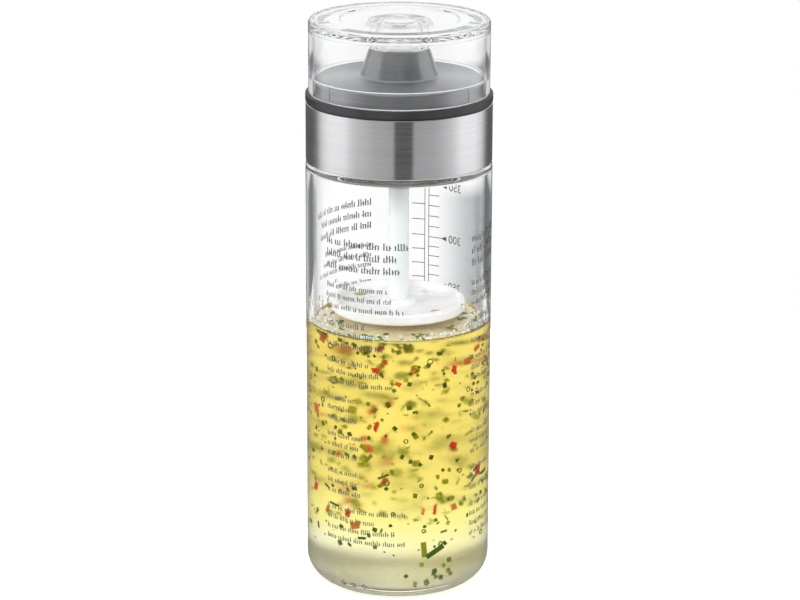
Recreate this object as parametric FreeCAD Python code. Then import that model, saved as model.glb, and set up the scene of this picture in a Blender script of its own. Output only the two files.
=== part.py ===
"""A salad dressing shaker bottle: a graduated glass bottle with a screw lid that carries a steel spout,
a mixing disc on a hollow stem, and a clear cap that pulls off. Millimetres, +Z up.
The origin is the centre of the bottle's foot, and the print on the glass faces -Y."""
import FreeCAD, Part
import math
import os

# Clearances that several pieces share
bond_gap = 0.05            # between pieces that are pressed or snapped together
running_gap = 0.3          # between curved faces that move past each other

# Glass bottle
body_radius = 32.5
body_wall = 2.4
base_thickness = 4.6
heel_radius = 9.0
inner_heel_radius = 7.0
foot_ring_width = 4.0
foot_ring_round = 2.0
punt_depth = 1.4           # of the hollow under the base
punt_slope_width = 6.0
punt_round = 4.0
shoulder_height = 153.1
shoulder_wall = 1.6
shoulder_fall = 0.5        # how far the inside of the shoulder falls on its way out to the wall
shoulder_round = 1.6
inner_shoulder_round = 1.2
neck_inset = 4.1
neck_wall = 2.6
neck_height = 17.8
neck_root_round = 0.6
rim_round = 0.8

# Screw thread, one right-hand start on the glass neck and one in the lid
thread_pitch = 5.0
thread_turns = 1.25
thread_start_height = 5.0  # above the shoulder, at the middle of the ridge
thread_start_angle = 35.0
ridge_height = 1.2
ridge_root = 0.5           # how deep a ridge is rooted in its wall
neck_ridge_base = 2.6
neck_ridge_crest = 1.0
lid_ridge_base = 2.0
lid_ridge_crest = 0.9
thread_radial_gap = 0.35
thread_flank_gap = 0.4

# Flat silicone gasket on the glass rim
gasket_thickness = 1.2
gasket_overhang = 0.3      # how far its inner edge stands back from the mouth

# Steel collar round the lid
collar_setback = 0.1       # from the glass body's radius
collar_gauge = 0.6
collar_lip_width = 1.8
collar_edge_round = 0.25
shoulder_gap = 0.3         # between the glass shoulder and the collar when screwed down

# Plastic thread insert inside the collar
insert_setback = 0.6       # its foot stands above the collar's foot
insert_web = 1.8
insert_edge_round = 0.4
upstand_wall = 2.2

# Dark seat ring that the clear cap stands on
seat_height = 3.2
seat_groove_height = 0.5   # of the shadow gap between the collar and the ring
seat_groove_depth = 0.6
seat_edge_round = 0.35

# Clear cap
cap_setback = 1.1          # from the glass body's radius
cap_height = 25.75
cap_wall = 1.95            # of the foot band, which is thicker than the wall above it
cap_top_round = 1.6
cap_step_height = 5.65     # of the foot band
cap_step_depth = 0.4
cap_step_round = 0.15
cap_ceiling = 2.1
haunch_width = 5.3         # of the slope between the ceiling and the wall
haunch_drop = 1.3
haunch_start_round = 0.3
haunch_foot_round = 2.0
top_recess_radius = 20.9   # of the shallow round recess in the cap's top
top_recess_depth = 0.35
top_recess_slope = 0.6
top_recess_round = 0.3
foot_round = 0.4
cap_side_gap = 0.4         # between the foot band and the plate's skirt
snap_pads = 3
snap_pad_angle = 18.0
snap_pad_proud = 0.2
snap_pad_foot = 0.8
snap_pad_height = 4.6
first_snap_pad_angle = 90.0

# Steel spout plate, one pressing with its skirt and flared spout
plate_rise = 8.5           # from the collar's top to the plate
plate_gauge = 0.5
plate_edge_round = 1.2
plate_crown = 0.6
spout_height = 10.4
spout_rim_radius = 10.45
spout_base_radius = 13.6
spout_base_round = 1.0
spout_edge_round = 0.2

# Plastic pour liner under the plate, with the spider that holds the stem
liner_flange = 1.4
liner_wall = 1.0
liner_setback = 0.4        # its lip stands below the steel rim
liner_edge_round = 0.4
liner_corner_round = 0.9
hub_wall = 1.6
hub_web = 1.5
hub_depth = 9.0
hub_top_rise = 0.6         # above the underside of the flange
hub_round = 1.2
spokes = 3
spoke_width = 1.6
spoke_depth = 5.0
spoke_reach = 21.0
first_spoke_angle = 90.0

# Silicone seal between the pour liner and the insert
liner_seal_width = 1.1
liner_seal_height = 1.2

# Mixing stem, a hollow moulding with a snap end
stem_radius = 3.5
stem_bore_radius = 2.5
stem_length = 76.1         # from its top to the shoulder that the disc stands against
stem_floor = 4.0
stem_fit = 0.05
stem_edge_round = 0.4
spigot_radius = 2.6
barb_radius = 3.2
barb_length = 3.4
barb_tip_radius = 1.8
barb_tip_round = 0.7

# Mixing disc
disc_radius = 23.5
disc_height = 4.0
disc_floor = 2.0
disc_rim_width = 2.6
disc_rim_round = 1.2
disc_inner_round = 1.0
disc_hub_radius = 6.0
disc_hub_round = 1.2
disc_holes = 4
disc_hole_radius = 2.55
disc_hole_inset = 6.2      # from the disc's edge to the middle of a hole
first_disc_hole_angle = 52.0

# Plug under the cap's ceiling, and its silicone ring
plug_radius = 8.2
plug_wall = 1.6
plug_depth = 3.4           # into the spout
plug_shoulder_width = 2.0
plug_shoulder_gap = 0.4    # between the plug's shoulder and the spout's rim
plug_edge_round = 0.4
plug_root_round = 0.8
plug_groove_depth = 0.6
plug_seal_height = 1.8
plug_seal_lift = 0.9       # of the groove above the plug's foot
plug_seal_proud = 0.45
plug_seal_round = 0.4

# Cuts run this far past what they cut
overrun = 2.0
# The most of a side that a rounded corner may take
corner_share = 0.49

# Radii and heights that follow from the sizes above
bore_radius = body_radius - body_wall
neck_radius = body_radius - neck_inset
mouth_radius = neck_radius - neck_wall
rim_height = shoulder_height + neck_height
collar_radius = body_radius - collar_setback
collar_foot = shoulder_height + shoulder_gap
collar_top = rim_height + gasket_thickness + insert_web
insert_radius = collar_radius - collar_gauge - bond_gap
insert_bore = neck_radius + ridge_height + thread_radial_gap
seat_top = collar_top + seat_height
cap_radius = body_radius - cap_setback
cap_bore = cap_radius - cap_wall
cap_top = seat_top + cap_height
plate_radius = cap_bore - cap_side_gap
plate_top = collar_top + plate_rise
spout_top = plate_top + spout_height
liner_inset = plate_gauge + bond_gap
flange_foot = plate_top - liner_inset - liner_flange
upstand_radius = plate_radius - liner_inset
upstand_bore = upstand_radius - upstand_wall
socket_radius = stem_radius + stem_fit
hub_radius = socket_radius + hub_wall
hub_top = flange_foot + hub_top_rise
stem_top = hub_top - hub_web - bond_gap
disc_top = stem_top - stem_length
disc_foot = disc_top - disc_height
disc_hole_circle = disc_radius - disc_hole_inset
plug_foot = spout_top - plug_depth
ceiling_foot = cap_top - cap_ceiling


def rounded_face(corners):
    """The face inside a closed outline in the XZ plane. Each corner is (radius, height, rounding)."""
    places = [FreeCAD.Vector(radius, 0, height) for radius, height, _ in corners]
    bends = []
    for index, (_, _, rounding) in enumerate(corners):
        corner = places[index]
        back = places[index - 1] - corner
        ahead = places[(index + 1) % len(places)] - corner
        half_turn = back.getAngle(ahead) / 2
        reach = 0
        if rounding > 0:
            reach = min(rounding / math.tan(half_turn), corner_share * min(back.Length, ahead.Length))
        start = corner + back.normalize() * reach
        end = corner + ahead.normalize() * reach
        radius = reach * math.tan(half_turn)
        inward = (back + ahead).normalize() if reach else back
        middle = corner + inward * (radius / math.sin(half_turn) - radius)
        bends.append((start, middle, end, reach))
    edges = []
    for index, (start, middle, end, reach) in enumerate(bends):
        last_end = bends[index - 1][2]
        if (start - last_end).Length > 0:
            edges.append(Part.LineSegment(last_end, start).toShape())
        if reach:
            edges.append(Part.Arc(start, middle, end).toShape())
    return Part.Face(Part.Wire(edges))


def turned(corners, degrees=360):
    """A solid of revolution about +Z from a rounded outline."""
    return rounded_face(corners).revolve(FreeCAD.Vector(), FreeCAD.Vector(0, 0, 1), degrees)


def spun(shape, degrees):
    """A copy of a shape turned about +Z."""
    copy = shape.copy()
    copy.rotate(FreeCAD.Vector(), FreeCAD.Vector(0, 0, 1), degrees)
    return copy


def thread_ridge(wall_radius, inward, base, crest, middle_height):
    """One helical ridge of trapezoid section on a wall, standing outward or inward from it."""
    way = -1 if inward else 1
    root = wall_radius - way * ridge_root
    tip = wall_radius + way * ridge_height
    root_width = base + (base - crest) * ridge_root / ridge_height
    section = [(root, -root_width), (tip, -crest), (tip, crest), (root, root_width)]
    places = [FreeCAD.Vector(radius, 0, width / 2) for radius, width in section]
    outline = Part.makePolygon(places + places[:1])
    helix = Part.makeHelix(thread_pitch, thread_pitch * thread_turns, wall_radius)
    ridge = Part.Wire(helix.Edges).makePipeShell([outline], True, True)
    ridge.translate(FreeCAD.Vector(0, 0, middle_height))
    return spun(ridge, thread_start_angle)


def glass_bottle():
    """Blown glass body with a screw neck and a level base, hollowed a little below."""
    punt_radius = body_radius - heel_radius - foot_ring_width
    shoulder_under = shoulder_height - shoulder_wall
    body = turned([
        (0, punt_depth, 0),
        (punt_radius - punt_slope_width, punt_depth, punt_round),
        (punt_radius, 0, foot_ring_round),
        (body_radius, 0, heel_radius),
        (body_radius, shoulder_height, shoulder_round),
        (neck_radius, shoulder_height, neck_root_round),
        (neck_radius, rim_height, rim_round),
        (mouth_radius, rim_height, rim_round),
        (mouth_radius, shoulder_under, inner_shoulder_round),
        (bore_radius, shoulder_under - shoulder_fall, inner_shoulder_round),
        (bore_radius, base_thickness, inner_heel_radius),
        (0, base_thickness, 0),
    ])
    middle_height = shoulder_height + thread_start_height
    return body.fuse(thread_ridge(neck_radius, False, neck_ridge_base, neck_ridge_crest, middle_height))


def neck_gasket():
    """Flat silicone washer between the glass rim and the lid."""
    inner = mouth_radius + gasket_overhang
    outer = insert_bore - running_gap
    top = rim_height + gasket_thickness
    return turned([(inner, rim_height, 0), (outer, rim_height, 0), (outer, top, 0), (inner, top, 0)])


def thread_insert():
    """Moulded core of the lid: threaded skirt, web over the gasket, and the upstand under the plate."""
    foot = collar_foot + insert_setback
    web_foot = collar_top - insert_web
    lip_foot = collar_top - collar_gauge - bond_gap
    lip_radius = collar_radius - collar_lip_width - bond_gap
    seal_foot = flange_foot - liner_seal_height - bond_gap
    seal_radius = upstand_bore + liner_seal_width + bond_gap
    core = turned([
        (insert_bore, foot, insert_edge_round),
        (insert_radius, foot, insert_edge_round),
        (insert_radius, lip_foot, 0),
        (lip_radius, lip_foot, 0),
        (lip_radius, collar_top, 0),
        (upstand_radius, collar_top, 0),
        (upstand_radius, flange_foot, 0),
        (seal_radius, flange_foot, 0),
        (seal_radius, seal_foot, 0),
        (upstand_bore, seal_foot, 0),
        (upstand_bore, web_foot, 0),
        (insert_bore, web_foot, 0),
    ])
    slope = (neck_ridge_base - neck_ridge_crest) / ridge_height
    neck_ridge_width = neck_ridge_base - slope * thread_radial_gap
    drop = (neck_ridge_width + lid_ridge_crest) / 2 + thread_flank_gap
    middle_height = shoulder_height + thread_start_height - drop
    return core.fuse(thread_ridge(insert_bore, True, lid_ridge_base, lid_ridge_crest, middle_height))


def steel_collar():
    """Brushed steel sleeve pressed on the insert, with its top edge turned in."""
    inner = collar_radius - collar_gauge
    lip_inner = collar_radius - collar_lip_width
    lip_foot = collar_top - collar_gauge
    return turned([
        (inner, collar_foot, collar_edge_round),
        (collar_radius, collar_foot, collar_edge_round),
        (collar_radius, collar_top, collar_edge_round),
        (lip_inner, collar_top, 0),
        (lip_inner, lip_foot, 0),
        (inner, lip_foot, 0),
    ])


def seat_ring():
    """Dark moulded ring on the collar, with a shadow gap under it. The cap's foot stands on it."""
    inner = plate_radius + bond_gap
    groove_radius = collar_radius - seat_groove_depth
    groove_top = collar_top + seat_groove_height
    return turned([
        (inner, collar_top, 0),
        (groove_radius, collar_top, 0),
        (groove_radius, groove_top, 0),
        (body_radius, groove_top, seat_edge_round),
        (body_radius, seat_top, seat_edge_round),
        (inner, seat_top, 0),
    ])


def spout_plate():
    """Steel pressing: skirt on the insert's web, crowned plate and flared spout."""
    skirt_inner = plate_radius - plate_gauge
    crown = plate_top + plate_crown
    return turned([
        (skirt_inner, collar_top, 0),
        (plate_radius, collar_top, 0),
        (plate_radius, plate_top, plate_edge_round),
        (spout_base_radius, crown, spout_base_round),
        (spout_rim_radius, spout_top, spout_edge_round),
        (spout_rim_radius - plate_gauge, spout_top, spout_edge_round),
        (spout_base_radius - plate_gauge, crown - plate_gauge, spout_base_round + plate_gauge),
        (skirt_inner, plate_top - plate_gauge, plate_edge_round - plate_gauge),
    ])


def pour_liner():
    """Moulding under the plate: flange on the upstand, spout lining, and a spider with the stem's socket."""
    lip_top = spout_top - liner_setback
    crown = plate_top + plate_crown - liner_inset
    lining = turned([
        (upstand_radius, flange_foot, 0),
        (upstand_radius, plate_top - liner_inset, liner_corner_round),
        (spout_base_radius - liner_inset, crown, spout_base_round + liner_inset),
        (spout_rim_radius - liner_inset, lip_top, liner_edge_round),
        (spout_rim_radius - liner_inset - liner_wall, lip_top, liner_edge_round),
        (spout_base_radius - liner_inset - liner_wall, flange_foot, liner_edge_round),
    ])
    hub_foot = hub_top - hub_depth
    socket_top = hub_top - hub_web
    hub = turned([
        (0, socket_top, 0),
        (socket_radius, socket_top, 0),
        (socket_radius, hub_foot, 0),
        (hub_radius, hub_foot, 0),
        (hub_radius, hub_top, hub_round),
        (0, hub_top, 0),
    ])
    spoke_start = socket_radius + hub_wall / 2
    spoke_top = flange_foot + liner_flange / 2
    spoke = Part.makeBox(spoke_reach - spoke_start, spoke_width, spoke_depth)
    spoke.translate(FreeCAD.Vector(spoke_start, -spoke_width / 2, spoke_top - spoke_depth))
    arms = [spun(spoke, first_spoke_angle + index * 360 / spokes) for index in range(spokes)]
    return lining.fuse([hub] + arms)


def liner_seal():
    """Silicone ring in the rebate of the upstand, under the liner's flange."""
    foot = flange_foot - liner_seal_height
    outer = upstand_bore + liner_seal_width
    return turned([
        (upstand_bore, foot, 0),
        (outer, foot, 0),
        (outer, flange_foot, 0),
        (upstand_bore, flange_foot, 0),
    ])


def mixing_stem():
    """Hollow stem, pushed up into the liner's socket, with a barb below the disc."""
    barb_top = disc_foot - bond_gap
    tip = barb_top - barb_length
    bore_foot = disc_top + stem_floor
    return turned([
        (0, tip, 0),
        (barb_tip_radius, tip, barb_tip_round),
        (barb_radius, barb_top, 0),
        (spigot_radius, barb_top, 0),
        (spigot_radius, disc_top, 0),
        (stem_radius, disc_top, 0),
        (stem_radius, stem_top, stem_edge_round),
        (stem_bore_radius, stem_top, 0),
        (stem_bore_radius, bore_foot, stem_edge_round),
        (0, bore_foot, 0),
    ])


def mixing_disc():
    """Dished disc with a raised rim, four holes and a hub that snaps on the stem."""
    floor_top = disc_foot + disc_floor
    rim_inner = disc_radius - disc_rim_width
    hub_bore = spigot_radius + stem_fit
    disc = turned([
        (hub_bore, disc_foot, 0),
        (disc_radius, disc_foot, disc_rim_round),
        (disc_radius, disc_top, disc_rim_round),
        (rim_inner, disc_top, disc_rim_round),
        (rim_inner, floor_top, disc_inner_round),
        (disc_hub_radius, floor_top, disc_inner_round),
        (disc_hub_radius, disc_top, disc_hub_round),
        (hub_bore, disc_top, 0),
    ])
    hole = Part.makeCylinder(disc_hole_radius, disc_height + 2 * overrun)
    hole.translate(FreeCAD.Vector(disc_hole_circle, 0, disc_foot - overrun))
    turns = [first_disc_hole_angle + index * 360 / disc_holes for index in range(disc_holes)]
    return disc.cut([spun(hole, degrees) for degrees in turns])


def clear_cap():
    """Clear moulded cap: recessed top on sloping haunches, foot band with snap pads, and a hollow plug."""
    upper_bore = cap_bore + cap_step_depth
    step = seat_top + cap_step_height
    haunch_radius = upper_bore - haunch_width
    haunch_foot = ceiling_foot - haunch_drop
    recess_floor = cap_top - top_recess_depth
    groove_foot = plug_foot + plug_seal_lift
    groove_top = groove_foot + plug_seal_height + 2 * bond_gap
    groove_radius = plug_radius - plug_groove_depth
    plug_bore = plug_radius - plug_wall
    plug_shoulder = plug_radius + plug_shoulder_width
    shoulder_foot = spout_top + plug_shoulder_gap
    shell = turned([
        (0, recess_floor, 0),
        (0, ceiling_foot, 0),
        (plug_bore, ceiling_foot, plug_root_round),
        (plug_bore, plug_foot, plug_edge_round),
        (plug_radius, plug_foot, plug_edge_round),
        (plug_radius, groove_foot, 0),
        (groove_radius, groove_foot, 0),
        (groove_radius, groove_top, 0),
        (plug_radius, groove_top, 0),
        (plug_radius, shoulder_foot, 0),
        (plug_shoulder, shoulder_foot, plug_edge_round),
        (plug_shoulder, ceiling_foot, plug_root_round),
        (haunch_radius, ceiling_foot, haunch_start_round),
        (upper_bore, haunch_foot, haunch_foot_round),
        (upper_bore, step, cap_step_round),
        (cap_bore, step, cap_step_round),
        (cap_bore, seat_top, foot_round),
        (cap_radius, seat_top, foot_round),
        (cap_radius, cap_top, cap_top_round),
        (top_recess_radius, cap_top, top_recess_round),
        (top_recess_radius - top_recess_slope, recess_floor, top_recess_round),
    ])
    pad_foot = seat_top + snap_pad_foot
    pad_top = pad_foot + snap_pad_height
    pad_inner = cap_bore - snap_pad_proud
    pad_root = cap_bore + cap_wall / 2
    pad = turned([
        (pad_inner, pad_foot, 0),
        (pad_root, pad_foot, 0),
        (pad_root, pad_top, 0),
        (pad_inner, pad_top, 0),
    ], snap_pad_angle)
    first = first_snap_pad_angle - snap_pad_angle / 2
    return shell.fuse([spun(pad, first + index * 360 / snap_pads) for index in range(snap_pads)])


def plug_seal():
    """Silicone ring in the plug's groove."""
    foot = plug_foot + plug_seal_lift + bond_gap
    inner = plug_radius - plug_groove_depth + bond_gap
    outer = plug_radius + plug_seal_proud
    top = foot + plug_seal_height
    return turned([
        (inner, foot, 0),
        (outer, foot, plug_seal_round),
        (outer, top, plug_seal_round),
        (inner, top, 0),
    ])


pieces = [
    glass_bottle, neck_gasket, thread_insert, steel_collar, seat_ring, spout_plate, pour_liner,
    liner_seal, mixing_stem, mixing_disc, clear_cap, plug_seal,
]
os.makedirs("parts", exist_ok=True)
for piece in pieces:
    name = piece.__name__
    shape = piece().removeSplitter()
    shape.exportStep(f"parts/{name}.step")
    box = shape.BoundBox
    print(f"{name}: {len(shape.Solids)} solid, valid {shape.isValid()}, {shape.Volume:.1f} mm3, "
          f"radius {box.XMax:.2f}, from {box.ZMin:.2f} to {box.ZMax:.2f}")
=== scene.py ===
import bpy
import math
import random
from mathutils import Euler, Matrix, Vector


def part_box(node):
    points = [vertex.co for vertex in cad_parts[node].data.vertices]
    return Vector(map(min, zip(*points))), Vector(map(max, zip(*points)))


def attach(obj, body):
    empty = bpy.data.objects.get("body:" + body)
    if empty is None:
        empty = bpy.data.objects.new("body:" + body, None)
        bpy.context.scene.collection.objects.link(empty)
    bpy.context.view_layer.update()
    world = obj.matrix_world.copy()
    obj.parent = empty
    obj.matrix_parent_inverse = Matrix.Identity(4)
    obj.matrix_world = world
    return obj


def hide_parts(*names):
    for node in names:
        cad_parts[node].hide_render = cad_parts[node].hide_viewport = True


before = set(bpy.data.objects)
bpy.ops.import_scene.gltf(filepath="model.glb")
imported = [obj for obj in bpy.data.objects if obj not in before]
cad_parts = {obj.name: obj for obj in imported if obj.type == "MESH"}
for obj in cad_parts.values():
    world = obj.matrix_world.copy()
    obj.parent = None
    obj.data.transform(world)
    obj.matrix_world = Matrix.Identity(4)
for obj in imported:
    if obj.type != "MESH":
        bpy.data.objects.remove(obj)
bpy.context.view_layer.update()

# Glass bottle
# A clear cylinder of pressed and blown glass with a screw neck and a level base, hollowed a little below.
# One and a quarter turns of thread stand out of the neck, and the lid hides all of it above the shoulder.
scene = bpy.context.scene
mm = 0.001
glass_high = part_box("glass_bottle")[1]
body_radius = glass_high.x
glass_wall = 2.4 * mm
bore_radius = body_radius - glass_wall
base_thickness = 4.6 * mm
heel_round = 9.0 * mm
inner_heel_round = 7.0 * mm
foot_ring_width = 4.0 * mm
foot_ring_round = 2.0 * mm
punt_depth = 1.4 * mm
punt_slope = 6.0 * mm
punt_round = 4.0 * mm
punt_radius = body_radius - heel_round - foot_ring_width
rim_height = glass_high.z
shoulder_height = rim_height - 17.8 * mm
shoulder_round = 1.6 * mm
shoulder_under = shoulder_height - 1.6 * mm
shoulder_fall = 0.5 * mm
inner_shoulder_round = 1.2 * mm
neck_radius = body_radius - 4.1 * mm
mouth_radius = neck_radius - 2.6 * mm
neck_root_round = 0.6 * mm
rim_round = 0.8 * mm
thread_pitch = 5.0 * mm
thread_turns = 1.25
thread_start = math.radians(35)
thread_lift = 5.0 * mm
ridge_height = 1.2 * mm
ridge_base = 2.6 * mm
ridge_crest = 1.0 * mm
ridge_end_share = 0.03
neck_row = 0.3 * mm
neck_row_start = 2.4 * mm
neck_rows = 38
glass_sides = 256
arc_steps = 10
most_of_side = 0.7
sharp_turn = math.radians(35)


def rounded_outline(corners):
    """Points (radius, height) along a closed outline. Each corner is (radius, height, rounding), and no
    rounding takes more than most of the shorter side."""
    points = []
    for index, (radius, height, rounding) in enumerate(corners):
        corner = Vector((radius, height))
        if rounding == 0:
            points.append(corner)
            continue
        back = Vector(corners[index - 1][:2]) - corner
        ahead = Vector(corners[(index + 1) % len(corners)][:2]) - corner
        half_turn = back.angle(ahead) / 2
        reach = min(rounding / math.tan(half_turn), most_of_side * min(back.length, ahead.length))
        back.normalize()
        ahead.normalize()
        to_centre = (back + ahead).normalized() * reach / math.cos(half_turn)
        centre = corner + to_centre
        spoke = corner + back * reach - centre
        way = 1 if back.cross(ahead) < 0 else -1
        sweep = way * (math.pi - 2 * half_turn)
        for step in range(arc_steps + 1):
            points.append(centre + Matrix.Rotation(sweep * step / arc_steps, 2) @ spoke)
    return points


def mesh_piece(name, vertices, faces, smooth=True):
    """An object in the scene from its points and faces, shaded smooth but for its sharp edges."""
    mesh = bpy.data.meshes.new(name)
    mesh.from_pydata(vertices, [], faces)
    if smooth:
        mesh.shade_smooth()
        mesh.set_sharp_from_angle(angle=sharp_turn)
    piece = bpy.data.objects.new(name, mesh)
    scene.collection.objects.link(piece)
    return piece


def around_axis(radius, angle, height):
    """A place at a radius and an angle round the bottle's axis, and a height."""
    return Vector((radius * math.cos(angle), radius * math.sin(angle), height))


def lathe(name, outline, sides, swell=None):
    """A piece turned about the bottle's axis from a closed outline, run outward at its foot and inward at
    its top. swell(angle, radius, height) is added to the radius."""
    vertices = []
    rings = []
    for radius, height in outline:
        ring = []
        for side in range(sides if radius > 0 else 1):
            angle = math.tau * side / sides
            out = radius + (swell(angle, radius, height) if swell else 0)
            ring.append(len(vertices))
            vertices.append(around_axis(out, angle, height))
        rings.append(ring)
    faces = []
    for ring, after in zip(rings, rings[1:] + rings[:1]):
        for side in range(sides):
            ahead = side + 1
            around = (ring[side % len(ring)], ring[ahead % len(ring)],
                      after[ahead % len(after)], after[side % len(after)])
            corners = list(dict.fromkeys(around))
            if len(corners) > 2:
                faces.append(corners)
    return mesh_piece(name, vertices, faces)


def thread_swell(angle, radius, height):
    """How far the thread stands out of the neck's wall at an angle and a height."""
    if abs(radius - neck_radius) > neck_root_round / 2:
        return 0
    most = 0
    for turn in range(math.ceil(thread_turns) + 1):
        along = (angle - thread_start) / math.tau + turn
        if 0 <= along <= thread_turns:
            off = abs(height - shoulder_height - thread_lift - along * thread_pitch)
            flank = (ridge_base / 2 - off) / (ridge_base - ridge_crest) * 2
            run_out = min(along, thread_turns - along) / ridge_end_share
            most = max(most, min(1, flank, run_out))
    return ridge_height * most


def fill_inputs(tree, node, inputs):
    """Gives inputs of a shader node their values: plain ones, or the output of another node to link."""
    for socket, value in inputs.items():
        if isinstance(value, bpy.types.NodeSocket):
            tree.links.new(value, node.inputs[socket])
        else:
            node.inputs[socket].default_value = value


def add_node(tree, kind, inputs=None, **settings):
    """Adds a shader node with its settings and inputs."""
    made = tree.nodes.new(kind)
    for key, value in settings.items():
        setattr(made, key, value)
    fill_inputs(tree, made, inputs or {})
    return made


def math_node(tree, operation, first, second=0.0):
    """The output of one sum on two values."""
    return add_node(tree, "ShaderNodeMath", {0: first, 1: second}, operation=operation).outputs[0]


def map_range(tree, value, low, high, first=0.0, last=1.0):
    """The output that runs from first to last while a value runs from low to high, and then stays."""
    ends = {1: low, 2: high, 3: first, 4: last}
    return add_node(tree, "ShaderNodeMapRange", {0: value, **ends}).outputs[0]


def split(tree, place):
    """The outputs x, y and z of a place or a direction."""
    return add_node(tree, "ShaderNodeSeparateXYZ", {0: place}).outputs


def noise(tree, place, scale, detail, distortion=0.0):
    """The output of soft noise at a place."""
    spots = {"Vector": place, "Scale": scale, "Detail": detail, "Distortion": distortion}
    return add_node(tree, "ShaderNodeTexNoise", spots).outputs["Fac"]


def mix_colours(tree, factor, first, second, blend_type="MIX"):
    """The output of a mix of two colours."""
    mixer = add_node(tree, "ShaderNodeMix", {0: factor, 6: first, 7: second},
                     data_type="RGBA", blend_type=blend_type)
    return mixer.outputs[2]


def ramp(tree, factor, stops):
    """The output of a colour ramp. Each stop is (position, grey or colour)."""
    made = add_node(tree, "ShaderNodeValToRGB", {"Fac": factor})
    elements = made.color_ramp.elements
    while len(elements) < len(stops):
        elements.new(1)
    for element, (position, shade) in zip(elements, stops):
        element.position = position
        element.color = (*shade, 1) if isinstance(shade, tuple) else (shade, shade, shade, 1)
    return made.outputs[0]


def emboss(tree, shader, height, strength, depth):
    """Raises a shader's surface by a map of heights."""
    bump = add_node(tree, "ShaderNodeBump", {"Height": height, "Strength": strength, "Distance": depth})
    fill_inputs(tree, shader, {"Normal": bump.outputs["Normal"]})


def let_lamps_through(tree, shader, tint):
    """Lets the light of the lamps straight through a clear material, so that it throws no dark shadow."""
    lamp_light = add_node(tree, "ShaderNodeLightPath").outputs["Is Shadow Ray"]
    through = add_node(tree, "ShaderNodeBsdfTransparent", {"Color": tint})
    ends = {0: lamp_light, 1: shader.outputs[0], 2: through.outputs[0]}
    mixed = add_node(tree, "ShaderNodeMixShader", ends)
    fill_inputs(tree, tree.nodes["Material Output"], {"Surface": mixed.outputs[0]})


def start_group(name, values, outputs):
    """A shader node group that takes a place and named values, with the two nodes at its ends."""
    group = bpy.data.node_groups.new(name, "ShaderNodeTree")
    group.interface.new_socket("Place", in_out="INPUT", socket_type="NodeSocketVector")
    for socket, value in values.items():
        made = group.interface.new_socket(socket, in_out="INPUT", socket_type="NodeSocketFloat")
        made.default_value = value
    for socket in outputs:
        group.interface.new_socket(socket, in_out="OUTPUT", socket_type="NodeSocketFloat")
    return group, add_node(group, "NodeGroupInput").outputs, add_node(group, "NodeGroupOutput")


def use_group(tree, group, inputs):
    """The outputs of a group placed in a material with that material's own values."""
    return add_node(tree, "ShaderNodeGroup", inputs, node_tree=group).outputs


def start_material(name, **shader_inputs):
    """A material with its node tree, its main shader, and its place in the bottle's frame."""
    material = bpy.data.materials.new(name)
    material.use_nodes = True
    tree = material.node_tree
    shader = tree.nodes["Principled BSDF"]
    for socket, value in shader_inputs.items():
        shader.inputs[socket.replace("_", " ")].default_value = value
    place = add_node(tree, "ShaderNodeTexCoord").outputs["Object"]
    return material, tree, shader, place


def dress(piece, material):
    """Puts one material on a piece or on a CAD node."""
    piece.data.materials.clear()
    piece.data.materials.append(material)


white = (1, 1, 1, 1)
clear_lamp_tint = (0.97, 0.975, 0.975, 1)
clear_surface, given, group_end = start_group(
    "clear_surface", {"Size": 60.0, "Haze": 0.02}, ["Roughness", "Height"])
smears = noise(clear_surface, given["Place"], given["Size"], detail=3.0)
smear_spots = ramp(clear_surface, smears, [(0.45, 0.0), (0.75, 1.0)])
fill_inputs(clear_surface, group_end, {
    "Roughness": math_node(clear_surface, "MULTIPLY", smear_spots, given["Haze"]),
    "Height": noise(clear_surface, given["Place"], scale=38.0, detail=1.0),
})


def clear_material(name, painted_edge_stops, ior, size, haze, ripple, sheen=1.0, unshaded_foot=1.0 * mm):
    """A clear solid with faint smears, and painted shade that greys its colour towards the edges it turns
    away from the eye, above a foot left without it.
    """
    material, tree, shader, place = start_material(
        name, IOR=ior, Transmission_Weight=1.0, Specular_Tint=(sheen, sheen, sheen, 1))
    surface = use_group(tree, clear_surface, {"Place": place, "Size": size, "Haze": haze})
    facing = add_node(tree, "ShaderNodeLayerWeight", {"Blend": 0.5}).outputs["Facing"]
    edge_shade_share = map_range(tree, split(tree, place)[2], unshaded_foot / 2, unshaded_foot)
    # Painted shade: the edge stops grey the colour where the surface turns away from the eye, standing in for
    # the dark edges of clear glass.
    painted_edge_shade = mix_colours(tree, edge_shade_share, white, ramp(tree, facing, painted_edge_stops))
    fill_inputs(tree, shader, {"Base Color": painted_edge_shade, "Roughness": surface["Roughness"]})
    emboss(tree, shader, surface["Height"], strength=ripple, depth=1.0 * mm)
    let_lamps_through(tree, shader, clear_lamp_tint)
    return material


neck_wall_rows = [
    (neck_radius, shoulder_height + neck_row_start + row * neck_row, 0) for row in range(neck_rows)
]
glass = lathe("glass_body", rounded_outline([
    (0, punt_depth, 0),
    (punt_radius - punt_slope, punt_depth, punt_round),
    (punt_radius, 0, foot_ring_round),
    (body_radius, 0, heel_round),
    (body_radius, shoulder_height, shoulder_round),
    (neck_radius, shoulder_height, neck_root_round),
    *neck_wall_rows,
    (neck_radius, rim_height, rim_round),
    (mouth_radius, rim_height, rim_round),
    (mouth_radius, shoulder_under, inner_shoulder_round),
    (bore_radius, shoulder_under - shoulder_fall, inner_shoulder_round),
    (bore_radius, base_thickness, inner_heel_round),
    (0, base_thickness, 0),
]), glass_sides, thread_swell)
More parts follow.
